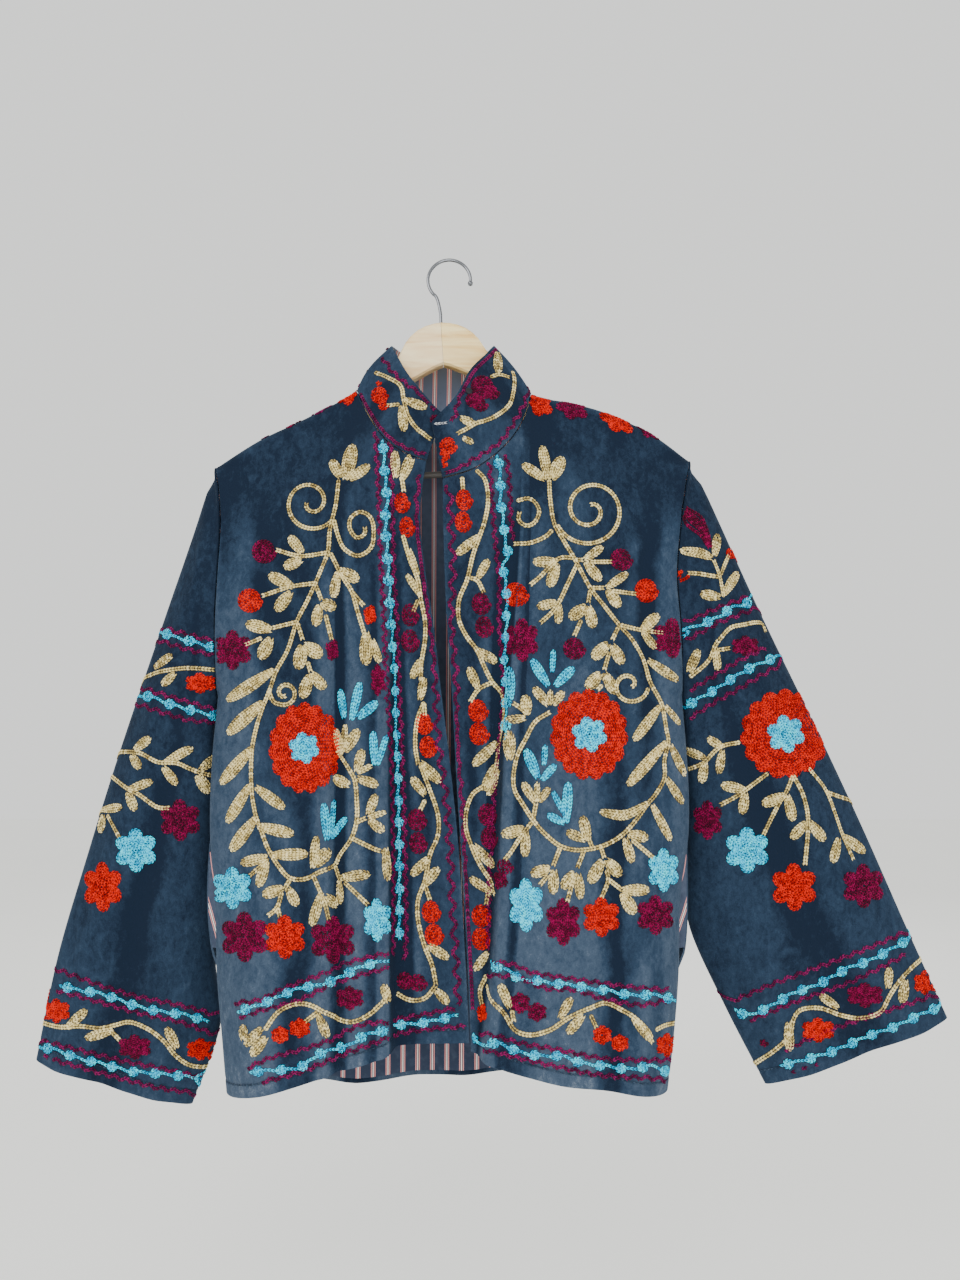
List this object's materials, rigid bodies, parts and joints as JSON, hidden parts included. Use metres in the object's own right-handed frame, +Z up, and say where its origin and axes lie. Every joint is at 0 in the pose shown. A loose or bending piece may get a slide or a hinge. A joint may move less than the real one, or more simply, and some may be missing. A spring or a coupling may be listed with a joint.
{
  "type": "embroidered jacket on hanger",
  "caption": "Hip-length open-fronted velvet jacket with a stand collar, straight wide sleeves and chain-stitch flowers, hung on a wooden hanger with a steel hook.",
  "frame": {"origin": "inside top of the hanger's hook, where it rests on a peg", "axes": "+X to the wearer's left, +Y towards the garment's back, +Z up; the front of the jacket faces -Y"},
  "size_m": [0.9049, 0.129, 0.8577],
  "materials": {
    "velvet": "slate-blue cotton velvet with a mottled nap, embroidered in wool chain stitch",
    "striped_cotton": "slate-blue cotton with thin pink and white stripes",
    "wood": "pale wood, clear satin varnish",
    "steel": "bright steel wire",
    "dark_metal": "dark press stud"
  },
  "bodies": {
    "root": {"front_right": "velvet", "front_left": "velvet", "back": "velvet", "back_lining": "striped_cotton", "sleeve_right": "velvet", "sleeve_left": "velvet", "collar": "velvet", "collar_stud": "dark_metal", "pocket_right": "striped_cotton", "pocket_left": "striped_cotton", "hanger_arm_right": "wood", "hanger_arm_left": "wood", "hanger_bar": "wood", "hanger_hook": "steel"}
  },
  "joints": []
}
